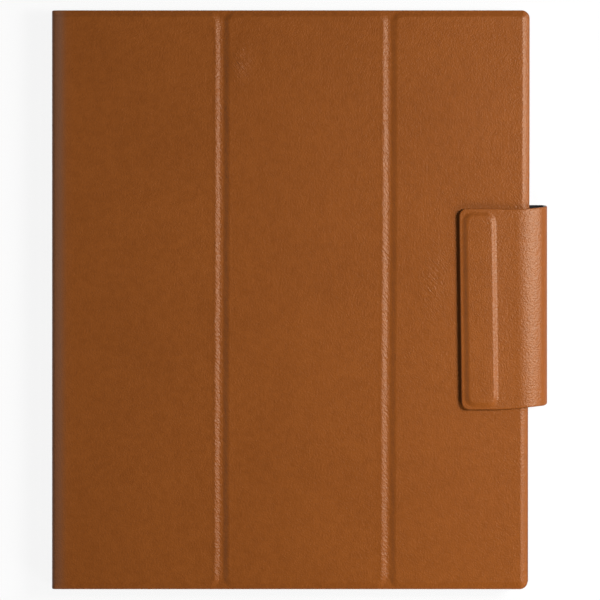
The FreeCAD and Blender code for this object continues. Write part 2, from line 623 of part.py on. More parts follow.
def build_reader_front():
    """Glass, adhesive, screen stack and the chassis that carries them."""
    top = READER_Z + READER_T
    place_reader("front_glass", inset_plate(RIM_W + FIT, (GLASS_Z, top - GLASS_SINK)))
    outer, inner = WALL + FIT, WALL + FIT + RING_W
    ring = inset_plate(outer, (CHASSIS_Z, RING_TOP_Z)).cut(inset_plate(inner, (CHASSIS_Z, RING_TOP_Z)))
    glue = inset_plate(outer, (RING_TOP_Z, GLASS_Z)).cut(inset_plate(inner, (RING_TOP_Z, GLASS_Z)))
    place_reader("glass_adhesive", glue)
    touch_x = -SCREEN_X - TOUCH_SIDE, SCREEN_X + TOUCH_SIDE
    touch_y = SCREEN_Y[0] - TOUCH_BOTTOM, SCREEN_Y[1]
    place_reader("touch_sensor", plate(touch_x, touch_y, (TOUCH_Z, GLASS_Z), [2.0] * 4))
    half = SCREEN_X
    guide_low = SCREEN_Y[0] + LIGHT_STRIP_W + LIGHT_STRIP_GAP
    place_reader("light_guide", box((-half, half), (guide_low, SCREEN_Y[1]), (GUIDE_Z, TOUCH_Z)))
    strip_x = LIGHT_STRIP_END - half, half - LIGHT_STRIP_END
    strip_y = SCREEN_Y[0], SCREEN_Y[0] + LIGHT_STRIP_W
    place_reader("front_light_strip", box(strip_x, strip_y, (TOUCH_Z - LIGHT_STRIP_T, TOUCH_Z)))
    place_reader("screen_panel", box((-half, half), SCREEN_Y, (SCREEN_Z, GUIDE_Z)))
    window_x = RIBBON_W / 2 + RIBBON_ROOM
    window_y = RIBBON_Y - RIBBON_ROOM, RIBBON_Y + RIBBON_BOND + RIBBON_ROOM
    window = box((-window_x, window_x), window_y, (CHASSIS_Z, SCREEN_Z))
    digitizer = box((-half, half), SCREEN_Y, (DIGITIZER_Z, SCREEN_Z))
    place_reader("pen_digitizer", digitizer.cut(window))
    sheet = inset_plate(inner - RING_W / 4, (CHASSIS_Z, DIGITIZER_Z))
    chassis = merged([ring, sheet]).cut(window)
    chassis = chassis.cut(screw_holes(CHASSIS_SCREWS, (CHASSIS_Z - PLATE_T, DIGITIZER_Z + PLATE_T)))
    room_x = SOCKET_W / 2 + SOCKET_ROOM
    room_y = -READER_TOP_Y, SOCKET_END_Y + SOCKET_ROOM
    return chassis.cut(box((-room_x, room_x), room_y, (CHASSIS_Z - PLATE_T, SOCKET_Z + SOCKET_H + FIT)))


def build_boards():
    """Battery, main board, socket board, flexes, speakers, antennas and magnets."""
    floor = INNER_FLOOR_Z
    battery_x = -BATTERY_X, BATTERY_X
    place_reader("battery", plate(battery_x, BATTERY_Y, (floor, BATTERY_TOP), [BATTERY_R] * 4))

    board_z = MAINBOARD_Z, MAINBOARD_TOP
    board = box((-MAINBOARD_X, MAINBOARD_X), (MAINBOARD_LOW, MAINBOARD_HIGH), board_z)
    ear = box((BUTTON_X - EAR_W / 2, BUTTON_X + EAR_W / 2), (MAINBOARD_HIGH - EAR_ROOT, EAR_TOP), board_z)
    board = merged([board, ear]).cut(screw_holes(BOARD_SCREWS, board_z))
    place_reader("mainboard", board)
    cans = []
    for x, y, width, height in SHIELDS:
        can = block((x, y), (width, height), (board_z[1], board_z[1] + SHIELD_H))
        hollow = (width - 2 * SHIELD_T, height - 2 * SHIELD_T)
        cans.append(can.cut(block((x, y), hollow, (board_z[1], board_z[1] + SHIELD_H - SHIELD_T))))
    place_reader("shield_cans", together(cans))
    place_reader("cover_sensor", block(WAKE_PLACE, SENSOR[:2], (board_z[1], board_z[1] + SENSOR[2])))
    switch_y = EAR_TOP - SWITCH_INSET - SWITCH[1] / 2
    switch_z = board_z[1], board_z[1] + SWITCH[2]
    place_reader("power_switch", block((BUTTON_X, switch_y), SWITCH[:2], switch_z))

    usb_z = USB_BOARD_Z, USB_BOARD_Z + USB_BOARD_T
    usb_y = SOCKET_END_Y + FIT, SOCKET_END_Y + FIT + USB_BOARD[1]
    usb_board = box((-USB_BOARD[0] / 2, USB_BOARD[0] / 2), usb_y, usb_z)
    place_reader("socket_board", usb_board.cut(screw_holes(USB_SCREWS, usb_z)))
    shell = socket_outline(0, -READER_TOP_Y, SOCKET_DEPTH)
    shell = shell.cut(socket_outline(-SOCKET_WALL, -READER_TOP_Y, SOCKET_DEPTH - SOCKET_WALL))
    middle = SOCKET_Z + SOCKET_H / 2
    tongue_y = SOCKET_END_Y - SOCKET_WALL - TONGUE[1], SOCKET_END_Y - SOCKET_WALL
    tongue_z = middle - TONGUE[2] / 2, middle + TONGUE[2] / 2
    tongue = box((-TONGUE[0] / 2, TONGUE[0] / 2), tongue_y, tongue_z)
    place_reader("charging_socket", merged([shell, tongue]))
    flex_x = -USB_FLEX_W / 2, USB_FLEX_W / 2
    over = BATTERY_TOP, BATTERY_TOP + FLEX_T
    on_board = board_z[1], board_z[1] + FLEX_T
    down_y = MAINBOARD_LOW + USB_FLEX_RISE
    low_foot = box(flex_x, (usb_y[1] - FLEX_FOOT, usb_y[1]), (usb_z[1], usb_z[1] + FLEX_T))
    low_rise = box(flex_x, (usb_y[1], usb_y[1] + FLEX_T), (usb_z[1], over[1]))
    run = box(flex_x, (usb_y[1], down_y), over)
    high_rise = box(flex_x, (down_y - FLEX_T, down_y), (board_z[1], over[1]))
    high_foot = box(flex_x, (down_y - FLEX_T, down_y + FLEX_FOOT), on_board)
    place_reader("socket_flex", merged([low_foot, low_rise, run, high_rise, high_foot]))

    lead_x = LEAD_X - LEAD_W / 2, LEAD_X + LEAD_W / 2
    lead_y = MAINBOARD_LOW + LEAD_RISE
    lead_run = box(lead_x, (BATTERY_Y[1] - LEAD_BOND, lead_y), over)
    lead_rise = box(lead_x, (lead_y, lead_y + FLEX_T), (board_z[1], over[1]))
    lead_foot = box(lead_x, (lead_y, lead_y + LEAD_FOOT), on_board)
    place_reader("battery_lead", merged([lead_run, lead_rise, lead_foot]))
    ribbon_x = -RIBBON_W / 2, RIBBON_W / 2
    ribbon_low = box(ribbon_x, (RIBBON_Y - RIBBON_FOOT, RIBBON_Y), on_board)
    ribbon_rise = box(ribbon_x, (RIBBON_Y, RIBBON_Y + FLEX_T), (board_z[1], SCREEN_Z))
    ribbon_high = box(ribbon_x, (RIBBON_Y, RIBBON_Y + RIBBON_BOND), (SCREEN_Z - FLEX_T, SCREEN_Z))
    place_reader("screen_ribbon", merged([ribbon_low, ribbon_rise, ribbon_high]))

    speaker_y = -READER_TOP_Y + WALL + SPEAKER_GAP + SPEAKER[1] / 2
    speaker_z = floor, floor + SPEAKER[2]
    speaker_x = READER_SIDE_X - SPEAKER_SIDE
    speakers = [block((side * speaker_x, speaker_y), SPEAKER[:2], speaker_z) for side in (-1, 1)]
    place_reader("speakers", together(speakers))
    antenna_z = floor, floor + ANTENNA[2]
    antenna_y = READER_TOP_Y - ANTENNA_TOP
    antennas = [block((side * ANTENNA_X, antenna_y), ANTENNA[:2], antenna_z) for side in (-1, 1)]
    place_reader("antennas", together(antennas))
    magnet_z = floor, floor + READER_MAGNET_T
    magnets = [block(place, DOCK_MAGNET, magnet_z) for place in DOCK_PLACES]
    place_reader("reader_magnets", together(magnets))
    place_reader("chassis_screws", together(screws(CHASSIS_SCREWS, DIGITIZER_Z, PLATE_T)))
    board_screws = screws(BOARD_SCREWS, MAINBOARD_TOP, MAINBOARD_T)
    board_screws += screws(USB_SCREWS, usb_z[1], USB_BOARD_T)
    place_reader("board_screws", together(board_screws))


def build_reader():
    """The whole reader."""
    button, slot, room = button_shapes()
    build_casing(slot)
    place_reader("chassis", build_reader_front().cut(room))
    build_boards()
    place_reader("power_button", button)


build_covers()
build_folds()
build_spine()
build_strap()
build_reader()

os.makedirs("parts", exist_ok=True)
for name, shape in parts.items():
    shape.exportStep("parts/" + name + ".step")
print(len(parts), "parts")
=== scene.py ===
"""Looks for an e-reader in a closed tri-fold leather folio. Metres, in the part's own frame."""

import math

import bpy
import numpy as np
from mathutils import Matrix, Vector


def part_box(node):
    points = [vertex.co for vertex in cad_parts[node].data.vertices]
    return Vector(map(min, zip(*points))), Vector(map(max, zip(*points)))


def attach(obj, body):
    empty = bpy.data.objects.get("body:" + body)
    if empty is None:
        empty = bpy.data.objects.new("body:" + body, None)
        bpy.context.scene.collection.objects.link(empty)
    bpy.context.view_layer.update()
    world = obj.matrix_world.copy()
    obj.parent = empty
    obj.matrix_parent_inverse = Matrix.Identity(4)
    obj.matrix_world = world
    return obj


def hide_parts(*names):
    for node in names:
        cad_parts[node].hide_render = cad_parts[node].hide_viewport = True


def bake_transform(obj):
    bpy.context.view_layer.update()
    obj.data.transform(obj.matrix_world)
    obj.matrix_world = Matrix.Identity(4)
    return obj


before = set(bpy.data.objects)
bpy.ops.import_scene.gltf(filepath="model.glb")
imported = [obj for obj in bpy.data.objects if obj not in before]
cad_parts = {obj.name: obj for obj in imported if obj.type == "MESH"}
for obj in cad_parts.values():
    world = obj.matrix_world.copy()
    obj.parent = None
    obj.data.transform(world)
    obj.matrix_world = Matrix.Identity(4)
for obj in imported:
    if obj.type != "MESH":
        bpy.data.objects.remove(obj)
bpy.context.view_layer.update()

MM = 0.001


# ---- Places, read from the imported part, in millimetres ----
def low(node):
    """Lowest corner of a node."""
    return np.array(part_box(node)[0]) / MM


def high(node):
    """Highest corner of a node."""
    return np.array(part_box(node)[1]) / MM


SPINE_X = low("spine_leather")[0]
FORE_X = high("panel_3_leather")[0]
END_Y = high("panel_3_leather")[1]
CLOSED_T = high("panel_1_leather")[2]
MIDDLE_Z = CLOSED_T / 2
FOLD_1 = (low("fold_web_1")[0] + high("fold_web_1")[0]) / 2
FOLD_2 = (low("fold_web_2")[0] + high("fold_web_2")[0]) / 2
LEATHER_T = high("spine_leather")[0] - SPINE_X
LINING_T = high("panel_1_lining")[2] - low("panel_1_lining")[2]
BOARD_T = high("panel_1_board")[2] - low("panel_1_board")[2]
SHEET_T = LEATHER_T + LINING_T
SPINE_HALF = (high("spine_leather")[2] - low("spine_leather")[2]) / 2
SPINE_R = 1.5  # outside radius of the sheet's turn on to the spine
FLAT_FROM = SPINE_HALF + SPINE_R * math.pi / 2  # round the sheet, from its middle to the flat
PLATEAU_Y = END_Y - 2.8  # the raised panels' flat tops end here
PANEL_R = 1.6  # corner radius of those tops
GROOVE_FLOOR = 0.57  # the leather bridges the gaps between the boards this high up
LEAN = 0.4  # the front is pulled this much out of square at its fore edge
CORNER_R = 3.2  # the cut sheet's outer corners
LEATHER_EDGE, LINING_EDGE = 0.45, 0.2  # rounding of the two layers' cut edges
UNDER_EASE = 1.5  # the leather's underside comes down to the flat over this much of its edge
BEYOND = 9.0  # so far past the sheet that no slope falls on it
NO_EDGE = 1e6  # distance to an edge that isn't there

# Where the sheet is divided: the folds' and the turns' own pieces, and the spine's unbent one
FOLD_REACH, TURN_REACH, SPINE_REACH = 4.4, 6.4, 1.4
EDGE_MARKS = [1.0, 0.8, 0.6, 0.4, 0.25, 0.14, 0.06, 0.0]  # close lines of the grid round an edge

STRAP_LOW, STRAP_HIGH = low("strap_root_bend")[1], high("strap_root_bend")[1]
STRAP_X = high("strap_wall_leather")[0]
ROOT_Z = low("strap_root_bend")[2]
ROOT_R = low("strap_wall_leather")[2] - ROOT_Z
FLAP_Z = high("strap_top_bend")[2]
FLAP_X = low("flap_leather")[0] - 0.45  # its free edge, a little past the solid's
BEND_R, BEND_TURN = 5.6, math.radians(62.0)  # the bend at the wall's top
DROOP_R, DROOP_TURN = 20.0, math.pi / 2 - BEND_TURN  # and the slack turn from it to the flap
FLAP_RISE = 0.73  # magnet panel above the rest of the flap
FLAP_LIFT = 0.3  # the flap's free edge above the lie of its other edge
WALL_H = (
    FLAP_Z - ROOT_Z - ROOT_R - BEND_R * math.sin(BEND_TURN) - DROOP_R * (1 - math.cos(DROOP_TURN))
)
FLAP_LEAN = 0.5  # the flap's free edge is this much out of square at its two ends
SKEW = 1.7  # the strap leaves the back cover this much further along Y than its flap lies
ROOT_SEAM = 2.0  # its root's piece starts this far before the bend
STRAP_REACH = STRAP_X - ROOT_R - FORE_X
WALL_Q = STRAP_REACH + ROOT_R * math.pi / 2 + WALL_H / 2  # middle of the strap's wall
FLAP_Q = WALL_Q + WALL_H / 2 + BEND_R * BEND_TURN + DROOP_R * DROOP_TURN  # start of the flap
END_Q = (
    FLAP_Q + STRAP_X - BEND_R * (1 - math.cos(BEND_TURN)) - DROOP_R * math.sin(DROOP_TURN) - FLAP_X
)


# ---- Curves ----
def ease(t):
    """Smooth step: three t squared less two t cubed, with t held between 0 and 1."""
    t = np.clip(t, 0.0, 1.0)
    return t * t * (3.0 - 2.0 * t)


def fall(d, radius):
    """How far a rounded edge lies below its face, d in from the edge: a quarter circle."""
    inside = np.clip(radius - d, 0.0, radius)
    return radius - np.sqrt(radius**2 - inside**2)


def slope(t):
    """A pressed slope from 0 to 1: seven parts smooth step to three parts straight line."""
    return 0.7 * ease(t) + 0.3 * np.clip(t, 0.0, 1.0)


def cover_path(s):
    """The outer face of the flat sheet round the folio, seen from its end.

    s is the distance round the sheet from the middle of the spine, above 0 towards the front. It
    runs up the spine, then a quarter circle, then straight to the fore edge. Returns x, z and the
    outward normal.
    """
    side = np.where(s < 0, -1.0, 1.0)
    a = np.abs(s)
    angle = np.clip((a - SPINE_HALF) / SPINE_R, 0.0, math.pi / 2)
    flat = np.clip(a - FLAT_FROM, 0.0, None)
    x = SPINE_X + SPINE_R * (1 - np.cos(angle)) + flat
    z = MIDDLE_Z + side * (np.clip(a, 0, SPINE_HALF) + SPINE_R * np.sin(angle))
    return x, z, -np.cos(angle), side * np.sin(angle)


def strap_path(q):
    """The strap's outer face: straight out of the back cover, then arcs round to the flap.

    q is the distance along it from the cover's fore edge. Each arc turns the heading left by its
    length over its radius, and adds the chord of that turn. Returns x, z and the outward normal.
    """
    arcs = (  # length, and one over the radius
        (STRAP_REACH, 0.0),
        (ROOT_R * math.pi / 2, 1 / ROOT_R),
        (WALL_H, 0.0),
        (BEND_R * BEND_TURN, 1 / BEND_R),
        (DROOP_R * DROOP_TURN, 1 / DROOP_R),
        (99.0, 0.0),  # the flap: straight on, further than it reaches
    )
    x, z = np.full_like(q, FORE_X), np.full_like(q, ROOT_Z)
    heading = np.zeros_like(q)
    start = 0.0
    for length, bend in arcs:
        run = np.clip(q - start, 0.0, length)
        half = run * bend / 2
        chord = run * np.sinc(half / math.pi)
        x = x + chord * np.cos(heading + half)
        z = z + chord * np.sin(heading + half)
        heading = heading + 2 * half
        start += length
    return x, z, np.sin(heading), -np.cos(heading)


def s_of(x):
    """Distance round the sheet to a place x on the front cover's flat."""
    return x - SPINE_X - SPINE_R + FLAT_FROM


def x_of(s):
    """Place across the opened-out sheet, equal to x on the flats."""
    return np.abs(s) - FLAT_FROM + SPINE_R + SPINE_X


# ---- Relief of the leather ----
def pressed(x, y, x_ends, y_ends, slopes, r):
    """Share of the full height of a raised panel: 1 on its top, easing to 0 at its foot.

    The distance outside the panel is divided by the slope's width on that side, and the two are
    joined as a rounded corner: the root of the sum of squares, less the corner's radius.
    """
    dx = np.maximum((x_ends[0] - x) / slopes[0], (x - x_ends[1]) / slopes[1])
    dy = np.maximum(y_ends[0] - y, y - y_ends[1]) / slopes[2]
    rx = r / min(slopes)
    outside = np.hypot(np.maximum(dx + rx, 0), np.maximum(dy + rx, 0)) - rx
    return 1.0 - slope(outside)


def swell(x, y, across, amount):
    """Long shallow undulation of leather drawn over board: a sum of three slow sine waves."""
    return amount * (
        np.sin(x / across + 0.7) * np.cos(y / 41.0 + 1.1)
        + 0.6 * np.sin(y / 23.0 + x / 37.0)
        + 0.4 * np.cos(y / 13.0 - x / 19.0 + 2.0)
    )


def front_relief(x, y):
    """Height of the front leather over its flat sheet: three raised panels side by side.

    One pressed shape takes in the whole front, up to the floor of the grooves, and the panels
    stand on it. Towards the spine and the fore edge the height is rounded off as one less a power
    of the distance past the panel's flat top: its square at the spine, its power of 1.5 in front.
    """
    panels = (  # low X and high X of the flat top, and the widths of the slopes there
        (SPINE_X - BEYOND, FOLD_1 - 3.15, 2.6, 2.1),
        (FOLD_1 + 2.9, FOLD_2 - 3.2, 2.7, 2.5),
        (FOLD_2 + 2.9, FORE_X + BEYOND, 2.9, 2.4),
    )
    end_slope = 2.6
    y = y - swell(x, y, 5.0, 0.04)
    ends = -PLATEAU_Y, PLATEAU_Y
    all_x = SPINE_X - BEYOND, FORE_X + BEYOND
    whole = 0.7 + 0.3 * pressed(x, y, all_x, ends, (end_slope, end_slope, end_slope), PANEL_R)
    wander = 0.11 * np.sin(y / 3.1 + x) + 0.07 * np.sin(y / 1.3 + 2.0 * x)
    top = np.zeros_like(x)
    for x0, x1, slope_0, slope_1 in panels:
        slopes = slope_0, slope_1, end_slope
        top = np.maximum(top, pressed(x + wander, y, (x0, x1), ends, slopes, PANEL_R))
    spine_from, spine_over = 0.4, 5.4  # where that rounding starts, and how far it goes
    fore_from, fore_over = 3.1, 2.8
    spine_side = 1.0 - (1.0 - np.clip((x - SPINE_X - spine_from) / spine_over, 0.0, 1.0)) ** 2
    height = GROOVE_FLOOR * whole + (BOARD_T - GROOVE_FLOOR) * top
    fore_side = 1.0 - np.clip((x - FORE_X + fore_from) / fore_over, 0.0, 1.0) ** 1.5
    return (height + swell(x, y, 17.0, 0.012) * top) * spine_side * fore_side


def back_relief(x, y):
    """Height of the back leather over its flat sheet: one raised panel, dead flat on top."""
    ends = SPINE_X + 4.5, FORE_X - 3.0
    return BOARD_T * pressed(x, y, ends, (-PLATEAU_Y, PLATEAU_Y), (3.0, 2.4, 2.4), PANEL_R)


def worn(x, y):
    """How strongly the leather is wrinkled: along the grooves' slopes, and in four soft spots.

    Each is a bell curve of the distance from its middle.
    """
    lines = (  # middle X, half width, strength
        (FOLD_1 - 2.0, 1.5, 0.6),
        (FOLD_2 - 1.7, 1.8, 0.4),
        (FOLD_1 + 1.5, 1.6, 0.2),
    )
    amount = np.zeros_like(x)
    for middle, half, much in lines:
        amount = np.maximum(amount, much * np.exp(-(((x - middle) / half) ** 2)))
    amount = amount * ease((PLATEAU_Y + 0.5 - np.abs(y)) / 3.0)
    spots = (  # middle X and Y, half width in X and Y, strength
        (FORE_X - 2.5, 29.0, 5.5, 9.0, 1.3),
        (FORE_X - 1.0, -36.0, 5.5, 6.0, 0.9),
        (FOLD_1 + 6.5, 94.0, 3.0, 6.0, 1.1),
        (FOLD_2 + 17.0, 8.0, 6.0, 14.0, 0.35),
    )
    for middle_x, middle_y, half_x, half_y, much in spots:
        away = ((x - middle_x) / half_x) ** 2 + ((y - middle_y) / half_y) ** 2
        amount = np.maximum(amount, much * np.exp(-away))
    return amount


def painted_sheen(x, y):
    """Painted sheen: grey mixed into the leather's colour to stand in for a reflection of light, a
    bell curve along the spine, more at high Y.
    """
    return np.exp(-(((x - SPINE_X - 2.8) / 2.2) ** 2)) * (0.74 + 0.30 * y / END_Y)


def lining_rise(s):
    """How far the spine's board pushes the lining in: full over the board, none past its ends."""
    run_out = 0.9
    return BOARD_T * (1.0 - ease((np.abs(s) - SPINE_HALF + run_out) / run_out))


# ---- Making a sheet of leather or lining ----
def shell(name, outer, inner, seams, rest, material):
    """A closed sheet from two grids of points and the four strips that join their edges.

    outer and inner are arrays (n, m, 3) in millimetres, and rest has the same points on the
    opened-out sheet. seams: for the low s, high s, low y and high y sides, whether the sheet goes
    on in another piece there; those edges shade sharp.
    """
    n, m = outer.shape[:2]
    index = np.arange(n * m).reshape(n, m)
    under = index + n * m
    over = [index[:-1, :-1], index[1:, :-1], index[1:, 1:], index[:-1, 1:]]
    below = [under[:-1, :-1], under[:-1, 1:], under[1:, 1:], under[1:, :-1]]
    quads = [np.stack(corners, -1).reshape(-1, 4) for corners in (over, below)]
    sides = (index[0], index[-1][::-1], index[:, 0][::-1], index[:, -1])
    for line in sides:
        down = line + n * m
        quads.append(np.stack([line[:-1], line[1:], down[1:], down[:-1]], -1))
    quads = np.concatenate(quads)
    points = np.concatenate([outer.reshape(-1, 3), inner.reshape(-1, 3)]) * MM
    mesh = bpy.data.meshes.new(name)
    mesh.from_pydata(points.tolist(), [], quads.tolist())
    mesh.polygons.foreach_set("use_smooth", np.ones(len(quads), bool))
    on_seam = np.zeros((4, 2 * n * m), bool)
    for k, line in enumerate(sides):
        if seams[k]:
            on_seam[k, line] = True
            on_seam[k, line + n * m] = True
    ends = np.zeros(len(mesh.edges) * 2, int)
    mesh.edges.foreach_get("vertices", ends)
    ends = ends.reshape(-1, 2)
    sharp = (on_seam[:, ends[:, 0]] & on_seam[:, ends[:, 1]]).any(0)
    mesh.attributes.new("sharp_edge", "BOOLEAN", "EDGE").data.foreach_set("value", sharp)
    spread = mesh.attributes.new("rest", "FLOAT_VECTOR", "POINT")
    spread.data.foreach_set("vector", (rest * MM).ravel())
    # the first mask marks wrinkles for the bump; the second marks a painted sheen, a grey
    # reflection mixed into the colour along the spine
    for use, amount in (("worn", worn), ("painted_sheen", painted_sheen)):
        marked = mesh.attributes.new(use, "FLOAT", "POINT")
        marked.data.foreach_set("value", amount(rest[:, 0], rest[:, 1]))
    mesh.update()
    piece = bpy.data.objects.new(name, mesh)
    bpy.context.scene.collection.objects.link(piece)
    mesh.materials.append(material)
    return piece


def lay(name, path, s, y, tops, material, seams, rest_x, lean=0.0, shift=0.0):
    """A sheet that follows a path: each point is the path's, plus its normal times a height.

    tops: the heights of its two faces over the path, as arrays like s. rest_x is its X on the
    opened-out sheet. lean moves it along X and shift along Y.
    """
    x, z, nx, nz = path(s)
    faces = [np.stack([x + nx * h + lean, y + shift, z + nz * h], -1) for h in tops]
    flat = [np.stack([rest_x, y, h], -1).reshape(-1, 3) for h in tops]
    return shell(name, faces[0], faces[1], seams, np.concatenate(flat), material)


def end_marks(half):
    """Y from one end to the other, close together on the slopes and round the edges."""
    near = [0.0, 0.06, 0.14, 0.25, 0.4, 0.6, 0.8, 1.1]
    on_slope = list(np.linspace(1.3, 3.6, 15))
    edge = np.array(near + on_slope + [4.2, 5.2, 7.0])
    middle = np.linspace(-half + 10.0, half - 10.0, 60)
    return np.concatenate([-half + edge, middle, half - edge[::-1]])


def corner_marks(half, r):
    """The same, with the lines that a rounded corner of radius r needs."""
    arc = half - r + r * np.sin(np.linspace(0.0, math.pi / 2, 12))
    marks = np.concatenate([end_marks(half), arc, -arc])
    marks = np.unique(np.round(marks, 4))
    least_gap = 0.02
    keep = np.append(True, np.diff(marks) > least_gap)
    keep[-1] = True
    return marks[keep]


def fore_limit(y, y_low, y_high, r):
    """How far a rounded corner pulls the fore edge in at each y: r less its circle's reach."""
    past = np.maximum(np.maximum(y - (y_high - r), (y_low + r) - y), 0.0)
    return r - np.sqrt(np.maximum(r**2 - np.minimum(past, r) ** 2, 0.0))


def cover_sheet(layer, name, s_marks, rounded):
    """One stretch of the folio's leather or lining, between two distances round the sheet.

    Where its corners are rounded, the grid's last lines are drawn in to follow them.
    """
    ys = corner_marks(END_Y, CORNER_R) if rounded else end_marks(END_Y)
    s, y = np.meshgrid(s_marks, ys, indexing="ij")
    side = -1.0 if s_marks[0] + s_marks[-1] < 0 else 1.0
    fore = np.full_like(s, NO_EDGE)
    if rounded:
        limit = fore_limit(y, -END_Y, END_Y, CORNER_R)
        share = (np.abs(s) - np.abs(s).min()) / (np.abs(s).max() - np.abs(s).min())
        drawn_from, drawn_over = 0.55, 0.45
        s = s - side * limit * ease((share - drawn_from) / drawn_over) * share
        fore = np.abs(s).max() - limit - np.abs(s)
        if side < 0:
            spare = 0.3  # the edge stays square this far past the strap
            at_strap = (y > STRAP_LOW + SKEW - spare) & (y < STRAP_HIGH + SKEW + spare)
            fore = np.where(at_strap, NO_EDGE, fore)
    edge = np.minimum(END_Y - np.abs(y), fore)
    x = x_of(s)
    if layer == "leather":
        relief = front_relief(x, y) if side > 0 else back_relief(x, y)
        tops = relief - fall(edge, LEATHER_EDGE), relief * ease(edge / UNDER_EASE) - LEATHER_T
    else:
        rise = lining_rise(s)
        tops = -LEATHER_T - rise, -SHEET_T - rise + fall(edge, LINING_EDGE)
    seams = (True, not rounded, False, False) if side > 0 else (not rounded, True, False, False)
    material = LEATHER if layer == "leather" else LINING
    pull = np.tanh(y / 40.0) - 0.5  # towards the spine at low Y, away from it at high Y
    lean = LEAN * (side + 1) / 2 * pull * (x - SPINE_X) / (FORE_X - SPINE_X)
    return lay(name, cover_path, s, y, tops, material, seams, x * side, lean=lean)


def strap_sheet(layer, name, q_marks, free_end=False):
    """One stretch of the strap's leather or lining, between two distances along it.

    Its wall is a little narrower than its ends, most of all on the low Y side.
    """
    near = [0.0, 0.06, 0.14, 0.25, 0.4, 0.65, 1.0]
    on_slope = [1.3, 1.6, 1.9, 2.2, 2.5, 2.8, 3.1, 3.4]
    lines = np.array(near + on_slope + [3.8, 4.6, 6.0])
    between = np.linspace(STRAP_LOW + 8, STRAP_HIGH - 8, 26)
    ys = np.concatenate([STRAP_LOW + lines, between, STRAP_HIGH - lines[::-1]])
    if free_end:
        arc = CORNER_R * (1 - np.sin(np.linspace(0.0, math.pi / 2, 12)))
        ys = np.unique(np.round(np.concatenate([ys, STRAP_LOW + arc, STRAP_HIGH - arc]), 4))
    q, y = np.meshgrid(q_marks, ys, indexing="ij")
    end = np.full_like(q, NO_EDGE)
    if free_end:
        limit = fore_limit(y, STRAP_LOW, STRAP_HIGH, CORNER_R)
        share = (q - q.min()) / (q.max() - q.min())
        drawn_from = drawn_over = 0.5
        q = q - limit * ease((share - drawn_from) / drawn_over) * share
        end = END_Q - limit - q
    edge = np.minimum(np.minimum(y - STRAP_LOW, STRAP_HIGH - y), end)
    magnet_q, magnet_y = (END_Q - 12.8, END_Q - 3.4), (STRAP_LOW + 2.9, STRAP_HIGH - 3.3)
    relief = FLAP_RISE * pressed(q, y, magnet_q, magnet_y, slopes=(2.1, 2.3, 2.1), r=2.1)
    lift = FLAP_LIFT * ease((q - FLAP_Q) / 14.0)
    if layer == "leather":
        outer = relief + lift - fall(edge, LEATHER_EDGE)
        tops = outer, relief * ease(edge / UNDER_EASE) + lift - LEATHER_T
    else:
        tops = lift - LEATHER_T, lift + fall(edge, LINING_EDGE) - SHEET_T
    waist = 0.45 * np.sin(math.pi * np.clip((q - WALL_Q + 4) / (FLAP_Q - WALL_Q + 12), 0, 1))
    waist = waist + 0.6 * np.exp(-(((q - WALL_Q - 1.0) / 2.4) ** 2)) * (y < STRAP_LOW + 20.0)
    middle, half_width = (STRAP_LOW + STRAP_HIGH) / 2, 40.0
    skewed = 1 - ease((q - STRAP_REACH) / (FLAP_Q + 6 - STRAP_REACH))
    shift = SKEW * skewed - waist * (y - middle) / half_width
    lean = FLAP_LEAN * (middle - y) / half_width * ease((q - WALL_Q - 3.0) / 12.0)
    material = LEATHER if layer == "leather" else LINING
    seams = (True, not free_end, False, False)
    return lay(name, strap_path, q, y, tops, material, seams, q + FORE_X, lean=lean, shift=shift)


# ---- Materials ----
def node_tools(tree):
    """Short ways to add a node with its values, and to join two sockets."""

    def add(kind, **values):
        node = tree.nodes.new(kind)
        for key, value in values.items():
            if hasattr(node, key):
                setattr(node, key, value)
            else:
                node.inputs[key.replace("_", " ")].default_value = value
        return node

    def join(source, target):
        tree.links.new(source, target)

    return add, join


def nodes_for(name):
    """A new material with its shader, and the tools for its nodes."""
    material = bpy.data.materials.new(name)
    material.use_nodes = True
    add, join = node_tools(material.node_tree)
    return material, material.node_tree.nodes["Principled BSDF"], add, join


def ramp(add, stops):
    """A colour ramp between two (place, colour) stops."""
    node = add("ShaderNodeValToRGB")
    for element, (place, colour) in zip(node.color_ramp.elements, stops):
        element.position = place
        element.color = (*colour, 1.0)
    return node


